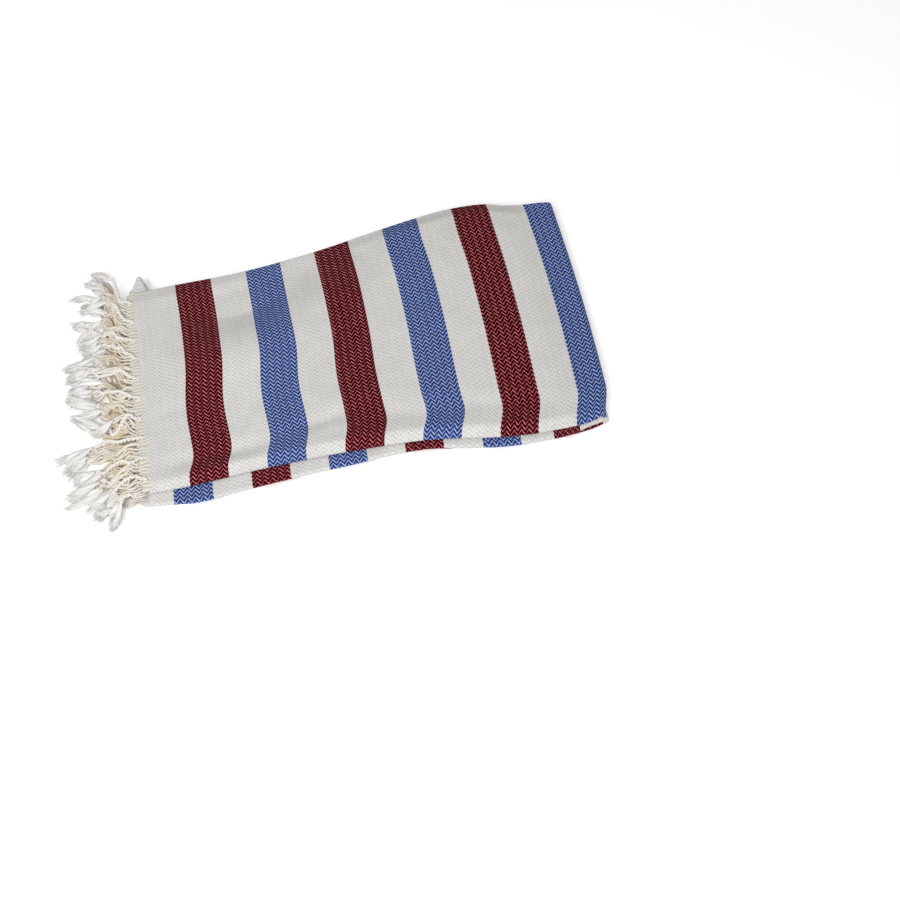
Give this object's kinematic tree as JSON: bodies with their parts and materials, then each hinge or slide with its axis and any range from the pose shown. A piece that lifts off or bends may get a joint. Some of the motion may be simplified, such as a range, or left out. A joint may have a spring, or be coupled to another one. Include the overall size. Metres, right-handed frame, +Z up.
{
  "type": "folded hammam towel",
  "caption": "Striped herringbone hammam towel, folded in four across and in four along, lying flat with its knotted fringes at one end",
  "frame": {"origin": "middle of the folded towel's and fringes' outline, on the surface that it lies on", "axes": "+X along the folded towel, from the fringes to the far fold; +Y from the front folds to the back folds; +Z up"},
  "size_m": [0.5154, 0.3092, 0.0273],
  "materials": {
    "cloth": "matt woven cotton, white with burgundy and blue stripes",
    "fringe": "matt twisted cotton cords in cream"
  },
  "bodies": {
    "root": {"cloth": "cloth", "fringe_top": "fringe", "fringe_under": "fringe"}
  },
  "joints": []
}
